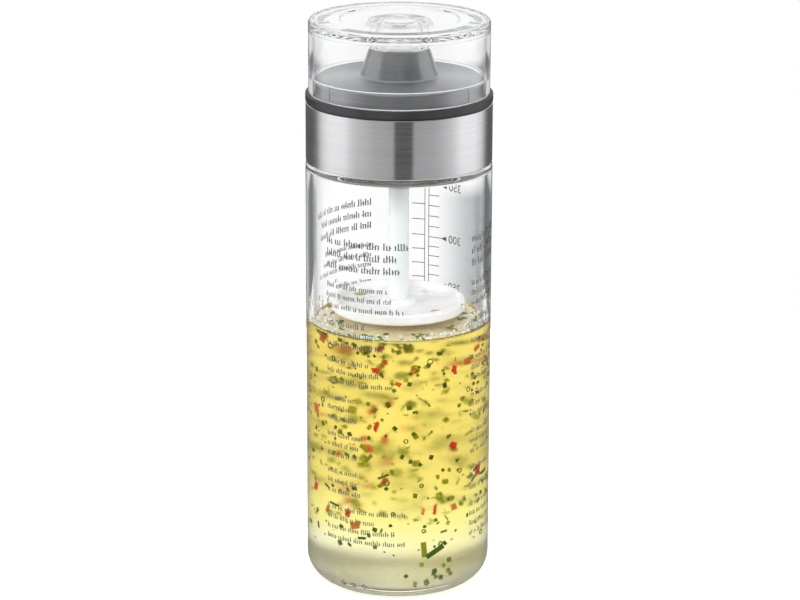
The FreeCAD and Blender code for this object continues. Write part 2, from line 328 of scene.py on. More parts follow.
# Painted shade for the glass: its colour greys towards its edges, and the foot is left without it.
glass_painted_edge_stops = [
    (0.0, (1.0, 1.0, 1.0)), (0.35, (0.995, 0.998, 0.996)), (0.6, (0.95, 0.965, 0.955)),
    (0.8, (0.83, 0.85, 0.84)), (1.0, (0.62, 0.65, 0.63)),
]
clear_glass = clear_material(
    "clear_glass", glass_painted_edge_stops, ior=1.5, size=55.0, haze=0.03, ripple=0.03, sheen=0.3,
    unshaded_foot=20.0 * mm)
dress(glass, clear_glass)
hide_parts("glass_bottle")
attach(glass, "bottle")

# Print on the glass
# Grey enamel fired on the outside of the wall: a volume scale at the back, whose numbers count millilitres,
# three columns of recipe rows, whose short strokes stand for words, and three small rings on the heel.
enamel_lift = 0.004 * mm
enamel_depth = 0.02 * mm
enamel_step = 1.0 * mm


class Enamel:
    """Collects closed tiles of enamel on the wall of the glass. Lengths round the wall run from the front,
    to the right of someone who faces the print."""

    def __init__(self):
        self.vertices = []
        self.faces = []

    def on_wall(self, along, height, lift):
        """A place on the wall, at a length round it and a height, lifted off it."""
        turn = along / body_radius
        radius = body_radius + lift
        return (radius * math.sin(turn), -radius * math.cos(turn), height)

    def tile(self, left, right, left_low, left_high, right_low, right_high):
        """One tile between two lengths round the wall, with its low and high edge at either end."""
        steps = max(1, math.ceil((right - left) / enamel_step))
        first = len(self.vertices)
        for step in range(steps + 1):
            share = step / steps
            along = left + (right - left) * share
            low = left_low + (right_low - left_low) * share
            high = left_high + (right_high - left_high) * share
            for lift in (enamel_lift - enamel_depth, enamel_lift):
                self.vertices.append(self.on_wall(along, low, lift))
                self.vertices.append(self.on_wall(along, high, lift))
        for step in range(steps):
            here = first + step * 4
            ahead = here + 4
            self.faces += [
                (here + 2, ahead + 2, ahead + 3, here + 3), (ahead, here, here + 1, ahead + 1),
                (here, ahead, ahead + 2, here + 2), (here + 3, ahead + 3, ahead + 1, here + 1),
            ]
        last = first + steps * 4
        self.faces.append((first, first + 2, first + 3, first + 1))
        self.faces.append((last + 2, last, last + 1, last + 3))

    def bar(self, left, right, low, high):
        """One tile with level edges."""
        self.tile(left, right, low, high, low, high)

    def number(self, value, right, middle, height):
        """A number that ends at a length round the wall, from Blender's own font."""
        curve = bpy.data.curves.new("number", "FONT")
        curve.body = str(value)
        curve.align_x = "RIGHT"
        curve.align_y = "CENTER"
        curve.size = height / figure_height_share
        curve.extrude = enamel_depth / 2
        holder = bpy.data.objects.new("number", curve)
        scene.collection.objects.link(holder)
        bpy.context.view_layer.update()
        graph = bpy.context.evaluated_depsgraph_get()
        flat = bpy.data.meshes.new_from_object(holder.evaluated_get(graph))
        first = len(self.vertices)
        middle_lift = enamel_lift - enamel_depth / 2
        for point in flat.vertices:
            across, up, out = point.co
            self.vertices.append(self.on_wall(right + across, middle + up, middle_lift + out))
        self.faces += [[first + index for index in face.vertices] for face in flat.polygons]
        bpy.data.meshes.remove(flat)
        bpy.data.objects.remove(holder)
        bpy.data.curves.remove(curve)

    def made(self, name):
        """The piece that all its tiles and numbers make."""
        return mesh_piece(name, self.vertices, self.faces, smooth=False)


figure_height_share = 0.7
scale_angle = math.radians(160.8)
scale_along = scale_angle * body_radius
volume_step_rise = 17.6 * mm
volume_step = 50
volume_mark = 300
volume_mark_height = 117.2 * mm
first_volume = 50
last_volume = 350
fine_volume_step = 10
ounce_step = 14.8
line_width = 0.28 * mm
rail_gap = 1.6 * mm
fine_tick = 4.4 * mm
ounce_tick = 5.0 * mm
arrow_stem = 5.5 * mm
arrow_length = 2.2 * mm
arrow_height = 1.8 * mm
number_gap = 0.9 * mm
number_height = 3.0 * mm
shoulder_stretch = 1.1


def volume_height(volume):
    """The height on the glass of a volume in millilitres. The shoulder draws the marks apart."""
    rise = (volume - volume_mark) / volume_step * volume_step_rise
    return volume_mark_height + rise * (shoulder_stretch if rise > 0 else 1)


volume_scale = Enamel()
rail_foot = volume_height(first_volume - fine_volume_step)
rail_top = volume_height(last_volume + fine_volume_step)
rail_left = scale_along - rail_gap / 2
rail_right = scale_along + rail_gap / 2
for rail in (rail_left, rail_right):
    volume_scale.bar(rail - line_width / 2, rail + line_width / 2, rail_foot, rail_top)
for volume in range(first_volume, last_volume + 1, fine_volume_step):
    middle = volume_height(volume)
    low = middle - line_width / 2
    high = middle + line_width / 2
    if volume % volume_step:
        volume_scale.bar(rail_left - fine_tick, rail_left, low, high)
        continue
    arrow_root = rail_left - arrow_stem
    arrow_end = arrow_root - arrow_length
    volume_scale.bar(arrow_root, rail_left, low, high)
    volume_scale.tile(arrow_end, arrow_root, middle - arrow_height / 2, middle + arrow_height / 2, low, high)
    volume_scale.number(volume, arrow_end - number_gap, middle, number_height)
ounce_ticks = int((last_volume - first_volume) / ounce_step) + 1
for tick in range(ounce_ticks):
    middle = volume_height(first_volume + tick * ounce_step)
    volume_scale.bar(rail_right, rail_right + ounce_tick, middle - line_width / 2, middle + line_width / 2)
volume_print = volume_scale.made("volume_scale")

column_starts = [math.radians(angle) * body_radius for angle in (-49, 51, 199)]
column_width = 31.0 * mm
heading_height = 129.7 * mm
heading_step = 4.3 * mm
heading_letter = 1.75 * mm
heading_shares = [1.0, 0.9, 0.92]
group_height = 114.0 * mm
group_step = 13.5 * mm
row_step = 3.65 * mm
row_letter = 1.3 * mm
group_shares = [
    [0.76, 0.8, 0.94], [0.5, 0.6, 0.72], [0.58, 0.66, 0.84], [0.36, 0.34, 0.4],
    [0.48, 0.46, 0.42], [0.44, 0.4, 0.46], [1.0, 0.62, 0.86, 0.98],
]
stroke_share = 0.26
letter_pitch_share = 0.56
tall_share = 1.45
tall_odds = 0.28
joint_odds = 0.75
joint_height_shares = (0, 0.4, 0.78)
joint_end_share = 0.8
joint_thickness_share = 0.2
word_lengths = [2, 3, 4, 5, 6, 7, 8]
recipe = Enamel()
letters = random.Random(4)


def stroke_row(left, middle, width, letter):
    """One row of words, each word a run of upright strokes joined by short bars."""
    end = left + width
    pitch = letter * letter_pitch_share
    along = left
    while along < end:
        for _ in range(letters.choice(word_lengths)):
            if along > end:
                break
            top = letter * (tall_share if letters.random() < tall_odds else 1)
            foot = middle - letter / 2
            stroke = letter * stroke_share
            recipe.bar(along, along + stroke, foot, foot + top)
            if letters.random() < joint_odds:
                joint_foot = foot + letter * letters.choice(joint_height_shares)
                joint_top = joint_foot + letter * joint_thickness_share
                recipe.bar(along + stroke, along + pitch * joint_end_share, joint_foot, joint_top)
            along += pitch
        along += pitch


for column in column_starts:
    for row, share in enumerate(heading_shares):
        stroke_row(column, heading_height - row * heading_step, share * column_width, heading_letter)
    for group, shares in enumerate(group_shares):
        for row, share in enumerate(shares):
            row_height = group_height - group * group_step - row * row_step
            stroke_row(column, row_height, share * column_width, row_letter)
recipe_print = recipe.made("recipe_rows")

heel_mark_height = 5.3 * mm
heel_mark_angles = [math.radians(angle) for angle in (-36.8, -29.3, -21.7)]
heel_mark_radius = 0.76 * mm
heel_mark_line = 0.42 * mm
heel_mark_sides = 20
heel_fall = math.asin(1 - heel_mark_height / heel_round)
heel_mark_out = body_radius - heel_round * (1 - math.cos(heel_fall))
heel_vertices = []
heel_faces = []
for turn in heel_mark_angles:
    level = Vector((math.sin(turn), -math.cos(turn), 0))
    outward = level * math.cos(heel_fall) - Vector((0, 0, math.sin(heel_fall)))
    across = Vector((math.cos(turn), math.sin(turn), 0))
    upward = outward.cross(across)
    middle = level * heel_mark_out + Vector((0, 0, heel_mark_height))
    first = len(heel_vertices)
    for side in range(heel_mark_sides):
        around = math.tau * side / heel_mark_sides
        spoke = across * math.cos(around) + upward * math.sin(around)
        for out, lift in ((-1, -1), (1, -1), (1, 1), (-1, 1)):
            line_radius = heel_mark_radius + out * heel_mark_line / 2
            heel_vertices.append(middle + spoke * line_radius + outward * lift * enamel_lift)
    for side in range(heel_mark_sides):
        here = first + side * 4
        ahead = first + (side + 1) % heel_mark_sides * 4
        heel_faces += [(here + corner, ahead + corner, ahead + (corner + 1) % 4, here + (corner + 1) % 4)
                       for corner in range(4)]
heel_print = mesh_piece("heel_marks", heel_vertices, heel_faces, smooth=False)

enamel, tree, shader, place = start_material("grey_enamel", Roughness=0.45)
enamel_shades = [(0.35, (0.055, 0.055, 0.052)), (0.7, (0.11, 0.11, 0.105))]
wear = noise(tree, place, scale=900.0, detail=2.0)
fill_inputs(tree, shader, {"Base Color": ramp(tree, wear, enamel_shades)})
for printed in (volume_print, recipe_print, heel_print):
    dress(printed, enamel)
    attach(printed, "bottle")

# Dressing
# Oil and vinegar shaken to a hazy yellow, up to just under the mixing disc, with a meniscus at the glass.
# It wets the wall, so its skin lies a hair inside the glass and no air shows between them.
wetting = 0.05 * mm
surface_height = 95.4 * mm
meniscus_rise = 1.0 * mm
meniscus_width = 2.2 * mm
liquid_sides = 192
liquid_radius = bore_radius + wetting
liquid = lathe("dressing", rounded_outline([
    (0, base_thickness - wetting, 0),
    (liquid_radius, base_thickness - wetting, inner_heel_round),
    (liquid_radius, surface_height + meniscus_rise, 0),
    (liquid_radius - meniscus_width / 8, surface_height + meniscus_rise, 0),
    (liquid_radius - meniscus_width / 2, surface_height, meniscus_width / 2),
    (0, surface_height, 0),
]), liquid_sides)
painted_light_foot = 4.0 * mm
painted_light_top = 44.0 * mm
noise_low = 0.3
noise_high = 0.7
least_haze = 0.2
most_haze = 0.3
shade_drift = 0.12
haze_shares = [(0.0, 1.2), (0.18, 0.8), (0.45, 1.0), (0.7, 0.85), (0.95, 0.62)]
# The dressing's own yellow above, paling to white at the foot as painted light shining up through the base.
liquid_shades_and_painted_light = [
    (0.0, (1.0, 1.0, 1.0)), (0.125, (1.0, 1.0, 0.9)), (0.25, (1.0, 0.985, 0.66)), (0.4, (1.0, 0.94, 0.38)),
    (0.7, (1.0, 0.88, 0.27)), (1.0, (1.0, 0.8, 0.19)),
]
liquid_lamp_tint = (0.98, 0.94, 0.7, 1)
dressing, tree, shader, place = start_material(
    "hazy_dressing", IOR=1.46, Transmission_Weight=1.0, Specular_Tint=(0, 0, 0, 1))
rise = split(tree, place)[2]
swirl = noise(tree, place, scale=45.0, detail=4.0, distortion=0.6)
cloud = noise(tree, place, scale=26.0, detail=2.0)
# Painted light: the colour pales to white towards the bottom of the dressing.
painted_light_fade = map_range(tree, rise, painted_light_foot, painted_light_top)
drift = map_range(tree, cloud, noise_low, noise_high, -shade_drift, shade_drift)
liquid_shade = ramp(tree, math_node(tree, "ADD", painted_light_fade, drift), liquid_shades_and_painted_light)
liquid_haze = map_range(tree, swirl, noise_low, noise_high, least_haze, most_haze)
haze_share = ramp(tree, map_range(tree, rise, base_thickness, surface_height), haze_shares)
liquid_roughness = math_node(tree, "MULTIPLY", liquid_haze, haze_share)
fill_inputs(tree, shader, {"Base Color": liquid_shade, "Roughness": liquid_roughness})
let_lamps_through(tree, shader, liquid_lamp_tint)
absorbed = add_node(tree, "ShaderNodeVolumeAbsorption", {"Color": (0.99, 0.93, 0.2, 1), "Density": 3.5})
fill_inputs(tree, tree.nodes["Material Output"], {"Volume": absorbed.outputs[0]})
dress(liquid, dressing)
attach(liquid, "bottle")

# Herbs and pepper in the dressing
# Cut chives, most of them opened out into small square flakes, with diced red pepper and ground spice.
# Many lie against the wall, the rest hang all through the dressing, and a folded stalk has sunk to the heel.
chopped = random.Random(11)
wall_clearance = 0.3 * mm
deep_clearance = 1.2 * mm
bits_low = 24.0 * mm
flake_thickness = 0.28 * mm
wall_lean = math.radians(22)


class Chopped:
    """Collects many small closed solids into one mesh."""

    def __init__(self):
        self.vertices = []
        self.faces = []

    def add(self, points, faces, turn, place):
        """One solid, from its own points, turned and put in its place."""
        first = len(self.vertices)
        self.vertices += [turn @ Vector(point) + place for point in points]
        self.faces += [[first + index for index in face] for face in faces]

    def flake(self, radius, length, sweep, turn, place, sides=6):
        """A length of a hollow stalk, or the part of its wall within a sweep in radians."""
        whole = sweep >= math.tau
        columns = sides if whole else sides + 1
        points = []
        for column in range(columns):
            angle = sweep * (column / sides - 0.5)
            for out in (radius, radius - flake_thickness):
                for end in (-length / 2, length / 2):
                    points.append((out * math.cos(angle) - radius, out * math.sin(angle), end))
        faces = []
        for side in range(sides):
            here = side * 4
            ahead = (side + 1) % columns * 4
            faces += [
                (here, ahead, ahead + 1, here + 1), (ahead + 2, here + 2, here + 3, ahead + 3),
                (ahead, here, here + 2, ahead + 2), (here + 1, ahead + 1, ahead + 3, here + 3),
            ]
        if not whole:
            last = sides * 4
            faces += [(0, 1, 3, 2), (last, last + 2, last + 3, last + 1)]
        self.add(points, faces, turn, place)

    def dice(self, size, turn, place, uneven):
        """A six-sided chip with uneven corners."""
        points = []
        for corner in range(8):
            signs = [1 if corner >> axis & 1 else -1 for axis in range(3)]
            points.append([sign * side / 2 * (1 + chopped.uniform(-uneven, uneven))
                           for sign, side in zip(signs, size)])
        faces = [(0, 2, 3, 1), (4, 5, 7, 6), (0, 1, 5, 4), (2, 6, 7, 3), (0, 4, 6, 2), (1, 3, 7, 5)]
        self.add(points, faces, turn, place)

    def drop(self, size, turn, place, sides=10, rings=5):
        """A round drop or bubble, flattened by its three sizes."""
        wide, deep, tall = size
        points = [(0, 0, -tall)]
        for ring in range(1, rings):
            tilt = math.pi * ring / rings
            out = math.sin(tilt)
            height = -tall * math.cos(tilt)
            for side in range(sides):
                angle = math.tau * side / sides
                points.append((wide * out * math.cos(angle), deep * out * math.sin(angle), height))
        points.append((0, 0, tall))
        top = len(points) - 1
        faces = []
        for side in range(sides):
            ahead = (side + 1) % sides
            faces.append((0, 1 + ahead, 1 + side))
            faces.append((top, top - sides + side, top - sides + ahead))
            for ring in range(rings - 2):
                low = 1 + ring * sides
                faces.append((low + side, low + ahead, low + sides + ahead, low + sides + side))
        self.add(points, faces, turn, place)


def any_angle():
    """A random angle round the bottle."""
    return chopped.uniform(0, math.tau)


def any_turn():
    """A random turn of a chip."""
    return Euler([any_angle() for _ in range(3)]).to_matrix()


def against_wall(angle):
    """A turn that lays a chip nearly flat against the wall at an angle, with a random spin."""
    spin = any_angle()
    lean = chopped.uniform(-wall_lean, wall_lean)
    return Euler((spin, lean, angle + chopped.uniform(-wall_lean, wall_lean))).to_matrix()


def on_heel(radius, height):
    """A radius drawn in as far as the rounded heel asks for at a height."""
    below = max(0, base_thickness + inner_heel_round - height)
    curve = inner_heel_round - math.sqrt(max(0, inner_heel_round ** 2 - below ** 2))
    return radius - curve


def near_wall(angle, height, depth):
    """A place behind the wall, at an angle round the bottle and a height."""
    return around_axis(on_heel(bore_radius - wall_clearance, height) - depth, angle, height)


def inside(reach):
    """A random place in the depth of the dressing, for a chip of a given reach."""
    radius = (bore_radius - deep_clearance - reach) * math.sqrt(chopped.random())
    angle = any_angle()
    return around_axis(radius, angle, chopped.uniform(bits_low + reach, surface_height - reach))


wall_low = 17.0 * mm
wall_high = surface_height - 1.0 * mm
chives = Chopped()
wall_chives = 330
wall_depth = 4.0 * mm
flake_widths = (0.8 * mm, 1.7 * mm)
stalk_radii = (1.5 * mm, 2.4 * mm)
squares_below = 0.8
square_shares = (0.8, 1.3)
strips_below = 0.92
strip_lengths = (2.4 * mm, 4.4 * mm)
hoop_tilts = (-0.5, 0.5)
hoop_radii = (0.8 * mm, 1.1 * mm)
hoop_length = 0.5 * mm
hoop_inset = 1.0 * mm
hoop_sides = 12
for _ in range(wall_chives):
    angle = any_angle()
    kind = chopped.random()
    width = chopped.uniform(*flake_widths)
    stalk = chopped.uniform(*stalk_radii)
    height = chopped.uniform(wall_low, wall_high)
    place = near_wall(angle, height, chopped.random() ** 2 * wall_depth)
    if kind < squares_below:
        length = width * chopped.uniform(*square_shares)
        chives.flake(stalk, length, width / stalk, against_wall(angle), place)
    elif kind < strips_below:
        length = chopped.uniform(*strip_lengths)
        chives.flake(stalk, length, width / stalk, against_wall(angle), place)
    else:
        roll = chopped.uniform(*hoop_tilts)
        turn = Euler((roll, math.pi / 2 + chopped.uniform(*hoop_tilts), angle)).to_matrix()
        place -= place.normalized() * hoop_inset
        chives.flake(chopped.uniform(*hoop_radii), hoop_length, math.tau, turn, place, hoop_sides)
hanging = Chopped()
deep_chives = 330
thin_stalk_radii = (0.9 * mm, 1.6 * mm)
short_below = 0.94
short_lengths = (1.0 * mm, 2.2 * mm)
long_lengths = (3.0 * mm, 5.5 * mm)
whole_below = 0.15
open_sweeps = (0.9, 1.8)
deep_sides = 8
for _ in range(deep_chives):
    kind = chopped.random()
    stalk = chopped.uniform(*thin_stalk_radii)
    length = chopped.uniform(*(short_lengths if kind < short_below else long_lengths))
    sweep = math.tau if kind < whole_below else chopped.uniform(*open_sweeps)
    hanging.flake(stalk, length, sweep, any_turn(), inside(max(length / 2, stalk)), deep_sides)
floating_chives = 60
floating_band = 8.0 * mm
floating_rises = (0.0, 0.6 * mm)
floating_rolls = (-0.4, 0.4)
floating_tilts = (-0.5, 0.5)
floating_stalks = (1.4 * mm, 2.2 * mm)
floating_lengths = (0.9 * mm, 2.2 * mm)
floating_sweeps = (0.6, 1.0)
for _ in range(floating_chives):
    angle = any_angle()
    radius = bore_radius - deep_clearance - chopped.random() * floating_band
    place = around_axis(radius, angle, surface_height + chopped.uniform(*floating_rises))
    roll = chopped.uniform(*floating_rolls)
    turn = Euler((roll, math.pi / 2 + chopped.uniform(*floating_tilts), any_angle())).to_matrix()
    stalk = chopped.uniform(*floating_stalks)
    length = chopped.uniform(*floating_lengths)
    chives.flake(stalk, length, chopped.uniform(*floating_sweeps), turn, place)

# The folded stalk's two arms, each with its azimuth and spin in degrees, and its height and length.
front = -math.pi / 2
fold_arms = [(17.7, 5, 19.2 * mm, 5.6 * mm), (25.5, -62, 18.0 * mm, 7.2 * mm)]
fold_stalk = 1.5 * mm
fold_sweep = 1.4
fold_depth = 0.2 * mm
for azimuth, spin, height, length in fold_arms:
    angle = front + math.radians(azimuth)
    turn = Euler((math.radians(spin), 0, angle)).to_matrix()
    chives.flake(fold_stalk, length, fold_sweep, turn, near_wall(angle, height, fold_depth))
sunk_chives = 13
sunk_azimuths = (4, 40)
sunk_heights = (5.8 * mm, 14.0 * mm)
sunk_depth = 0.3 * mm
sunk_widths = (1.2 * mm, 1.8 * mm)
sunk_stalk = 1.8 * mm
for _ in range(sunk_chives):
    angle = front + math.radians(chopped.uniform(*sunk_azimuths))
    place = near_wall(angle, chopped.uniform(*sunk_heights), sunk_depth)
    width = chopped.uniform(*sunk_widths)
    chives.flake(sunk_stalk, width, width / sunk_stalk, against_wall(angle), place)
chive_bits = mesh_piece("cut_chives", chives.vertices, chives.faces)
hanging_bits = mesh_piece("hanging_chives", hanging.vertices, hanging.faces)

pepper = Chopped()
wall_peppers = 14
wall_pepper_sides = [(0.5 * mm, 0.9 * mm), (1.2 * mm, 2.6 * mm), (1.6 * mm, 3.4 * mm)]
wall_pepper_heights = (wall_low + 1.0 * mm, wall_high - 2.0 * mm)
wall_pepper_depth = 0.6 * mm
for _ in range(wall_peppers):
    angle = any_angle()
    size = [chopped.uniform(*side) for side in wall_pepper_sides]
    place = near_wall(angle, chopped.uniform(*wall_pepper_heights), wall_pepper_depth)
    pepper.dice(size, against_wall(angle), place, uneven=0.3)
deep_peppers = 36
deep_pepper_sides = [(1.4 * mm, 3.4 * mm), (1.2 * mm, 2.4 * mm), (0.8 * mm, 1.2 * mm)]
pepper_reach_share = 0.7
for _ in range(deep_peppers):
    size = [chopped.uniform(*side) for side in deep_pepper_sides]
    pepper.dice(size, any_turn(), inside(size[0] * pepper_reach_share), uneven=0.35)
pepper_bits = mesh_piece("diced_pepper", pepper.vertices, pepper.faces, smooth=False)

spice = Chopped()
speck_count = 240
speck_sides = (0.25 * mm, 0.6 * mm)
speck_flatness = 0.7
speck_depth = 0.3 * mm
speck_band = 8.0 * mm
for _ in range(speck_count):
    side = chopped.uniform(*speck_sides)
    angle = any_angle()
    height = chopped.uniform(wall_low, wall_high)
    place = near_wall(angle, height, speck_depth + chopped.random() ** 2 * speck_band)
    spice.dice([side, side, side * speck_flatness], any_turn(), place, uneven=0.4)
spice_bits = mesh_piece("ground_spice", spice.vertices, spice.faces, smooth=False)


def chopped_material(name, shades, roughness, glow, grain_scale):
    """The flesh of a cut plant: a colour of its own for each chip, with fine fibres over it."""
    material, tree, shader, place = start_material(
        name, Roughness=roughness, Subsurface_Weight=glow, Subsurface_Scale=1.0 * mm)
    chip = add_node(tree, "ShaderNodeNewGeometry").outputs["Random Per Island"]
    fibre = noise(tree, place, grain_scale, detail=2.0)
    fibre_shade = ramp(tree, fibre, [(0.3, 0.75), (0.7, 1.0)])
    shade = mix_colours(tree, 1.0, ramp(tree, chip, shades), fibre_shade, "MULTIPLY")
    fill_inputs(tree, shader, {"Base Color": shade})
    emboss(tree, shader, fibre, strength=0.2, depth=0.1 * mm)
    return material


chive_shades = [(0.0, (0.045, 0.11, 0.004)), (0.55, (0.12, 0.21, 0.008)), (1.0, (0.33, 0.4, 0.03))]
pale_chive_shades = [(0.0, (0.22, 0.36, 0.01)), (0.5, (0.42, 0.52, 0.02)), (1.0, (0.6, 0.62, 0.05))]
pepper_shades = [(0.0, (0.85, 0.01, 0.01)), (0.6, (0.9, 0.05, 0.03)), (1.0, (0.95, 0.35, 0.15))]
spice_shades = [(0.0, (0.04, 0.03, 0.008)), (1.0, (0.25, 0.16, 0.03))]
chive_feel = {"roughness": 0.4, "glow": 0.1, "grain_scale": 1400.0}
pepper_feel = {"roughness": 0.35, "glow": 0.2, "grain_scale": 1100.0}
spice_feel = {"roughness": 0.6, "glow": 0.0, "grain_scale": 2500.0}
dress(chive_bits, chopped_material("chive_green", chive_shades, **chive_feel))
dress(hanging_bits, chopped_material("chive_pale", pale_chive_shades, **chive_feel))
dress(pepper_bits, chopped_material("pepper_red", pepper_shades, **pepper_feel))
dress(spice_bits, chopped_material("spice_brown", spice_shades, **spice_feel))
for piece in (chive_bits, hanging_bits, pepper_bits, spice_bits):
    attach(piece, "bottle")

# Froth on the dressing
# Shaking leaves a thin pale skin of oil and bubbles on the surface, a patch of foam at the front, and clear
# drops that cling to the glass above it.
skin_thickness = 0.3 * mm
skin_radius = bore_radius - 0.9 * mm
skin_foot = surface_height - 0.1 * mm
skin_top = surface_height + skin_thickness
skin = lathe("froth_skin", [
    (0, skin_foot), (skin_radius, skin_foot), (skin_radius, skin_top), (0, skin_top),
], liquid_sides)
skin_shades = [
    (0.3, (0.72, 0.76, 0.28)), (0.42, (0.9, 0.72, 0.4)), (0.52, (0.93, 0.86, 0.62)), (0.62, (0.9, 0.6, 0.4)),
    (0.72, (0.76, 0.78, 0.36)),
]
# Painted light: the skin's underside is painted near-white, for light from above shining through it.
painted_lit_underside = (0.98, 0.97, 0.9, 1)
froth_skin, tree, shader, place = start_material(
    "froth_skin", Roughness=0.5, Subsurface_Weight=0.3, Subsurface_Scale=2.0 * mm)
patches = ramp(tree, noise(tree, place, scale=230.0, detail=3.0), skin_shades)
looks_up = split(tree, add_node(tree, "ShaderNodeNewGeometry").outputs["Normal"])[2]
unpainted_top_share = ramp(tree, looks_up, [(0.0, 0.0), (0.3, 1.0)])
fill_inputs(tree, shader, {"Base Color": mix_colours(tree, unpainted_top_share, painted_lit_underside, patches)})
bubbled = add_node(tree, "ShaderNodeTexVoronoi", {"Vector": place, "Scale": 900.0}).outputs["Distance"]
emboss(tree, shader, bubbled, strength=0.5, depth=0.3 * mm)
dress(skin, froth_skin)

froth = Chopped()
upright = Matrix.Identity(3)
bubble_count = 260
bubble_sizes = (0.25 * mm, 0.75 * mm)
bubble_margin = 0.4 * mm
bubble_band = 7.0 * mm
bubble_crowding = 1.5
bubble_flatness = 0.7
for _ in range(bubble_count):
    angle = any_angle()
    size = chopped.uniform(*bubble_sizes)
    radius = bore_radius - bubble_margin - size - chopped.random() ** bubble_crowding * bubble_band
    froth.drop((size, size, size * bubble_flatness), upright, around_axis(radius, angle, skin_top))
foam_bubbles = 60
foam_angle = front - math.radians(24)
foam_sweep = 0.11
foam_sizes = (0.4 * mm, 0.8 * mm)
foam_margin = 0.3 * mm
foam_band = 2.4 * mm
for _ in range(foam_bubbles):
    angle = foam_angle + chopped.uniform(-foam_sweep, foam_sweep)
    size = chopped.uniform(*foam_sizes)
    radius = bore_radius - foam_margin - size - chopped.random() * foam_band
    froth.drop((size, size, size), upright, around_axis(radius, angle, skin_top))
bubbles = mesh_piece("froth_bubbles", froth.vertices, froth.faces)
film_shades = [(0.35, (0.93, 0.93, 0.84)), (0.65, (0.99, 0.99, 0.97))]
bubble_film, tree, shader, place = start_material(
    "bubble_film", Roughness=0.1, IOR=1.4, Subsurface_Weight=0.4, Subsurface_Scale=1.0 * mm)
milky = noise(tree, place, scale=700.0, detail=2.0)
fill_inputs(tree, shader, {"Base Color": ramp(tree, milky, film_shades)})
dress(bubbles, bubble_film)

clinging = Chopped()
drop_sides = [math.radians(azimuth) for azimuth in (-88, 84)]
drops_per_side = 45
drop_spread = 0.42
drop_sizes = (0.3 * mm, 1.1 * mm)
drop_band = 9.0 * mm
drop_sunk_share = 0.2
drop_proud_share = 0.4
drop_tall_share = 1.2
for middle in drop_sides:
    for _ in range(drops_per_side):
        angle = front + chopped.gauss(middle, drop_spread)
        size = chopped.uniform(*drop_sizes)
        height = surface_height + meniscus_rise + size + chopped.random() ** 2 * drop_band
        place = around_axis(bore_radius - size * drop_sunk_share, angle, height)
        drop_size = (size * drop_proud_share, size, size * drop_tall_share)
        clinging.drop(drop_size, Euler((0, 0, angle)).to_matrix(), place)
drops = mesh_piece("clinging_drops", clinging.vertices, clinging.faces)
# Painted shade for the drops: their colour greys towards their edges.
drop_painted_edge_stops = [(0.0, (1.0, 1.0, 0.97)), (0.6, (0.97, 0.98, 0.9)), (1.0, (0.8, 0.82, 0.7))]
dress(drops, clear_material("clear_drops", drop_painted_edge_stops, ior=1.4, size=300.0, haze=0.05, ripple=0.0))
for piece in (skin, bubbles, drops):
    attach(piece, "bottle")

# Lid core
# The thread insert and the pour liner are white satin mouldings, and the flat gasket and the two
# seal rings are silicone. All of them are hidden at rest, apart from the liner's mouth.
moulded_grain, given, group_end = start_group(
    "moulded_grain", {"Grain": 4000.0, "Smooth": 0.35, "Spread": 0.15}, ["Shade", "Roughness", "Height"])
flow = noise(moulded_grain, given["Place"], scale=120.0, detail=3.0)
spread = math_node(moulded_grain, "MULTIPLY", flow, given["Spread"])
fill_inputs(moulded_grain, group_end, {
    "Shade": flow,
    "Roughness": math_node(moulded_grain, "ADD", spread, given["Smooth"]),
    "Height": noise(moulded_grain, given["Place"], given["Grain"], detail=2.0),
})


def moulded_material(name, dark, light, grain, smooth, grain_depth, **shader_inputs):
    """A moulded plastic or rubber with faint flow marks and a fine grain."""
    material, tree, shader, place = start_material(name, **shader_inputs)
    surface = use_group(tree, moulded_grain, {"Place": place, "Grain": grain, "Smooth": smooth})
    shade = ramp(tree, surface["Shade"], [(0.3, dark), (0.7, light)])
    fill_inputs(tree, shader, {"Base Color": shade, "Roughness": surface["Roughness"]})
    emboss(tree, shader, surface["Height"], strength=grain_depth, depth=0.05 * mm)
    return material


core_plastic = moulded_material(
    "white_core", dark=(0.8, 0.8, 0.78), light=(0.86, 0.86, 0.84), grain=3500.0, smooth=0.3, grain_depth=0.3)
silicone = moulded_material(
    "clear_silicone", dark=(0.76, 0.77, 0.76), light=(0.82, 0.83, 0.82), grain=2500.0, smooth=0.42,
    grain_depth=0.3, Subsurface_Weight=0.3, Subsurface_Scale=2.0 * mm)
for node in ("thread_insert", "pour_liner"):
    dress(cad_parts[node], core_plastic)
for node in ("neck_gasket", "liner_seal", "plug_seal"):
    dress(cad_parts[node], silicone)

# Steel collar
# A drawn sleeve of stainless steel round the lid, brushed round its side, with its top edge turned in.
coarseness = (0.6, 0.6, 0.12)
brushed_lines, given, group_end = start_group(
    "brushed_lines", {"Across": 0.0, "Fineness": 2600.0, "Run": 22.0}, ["Lines", "Bands"])
sides = split(brushed_lines, given["Place"])
streak = add_node(brushed_lines, "ShaderNodeCombineXYZ", {
    0: math_node(brushed_lines, "MULTIPLY", sides[0], given["Run"]),
    1: math_node(brushed_lines, "MULTIPLY", sides[1], given["Run"]),
    2: math_node(brushed_lines, "MULTIPLY", given["Across"], given["Fineness"]),
}).outputs[0]
coarse = add_node(brushed_lines, "ShaderNodeVectorMath", {0: streak, 1: coarseness}, operation="MULTIPLY")
fill_inputs(brushed_lines, group_end, {
    "Lines": noise(brushed_lines, streak, scale=1.0, detail=3.0),
    "Bands": noise(brushed_lines, coarse.outputs[0], scale=1.0, detail=2.0),
})


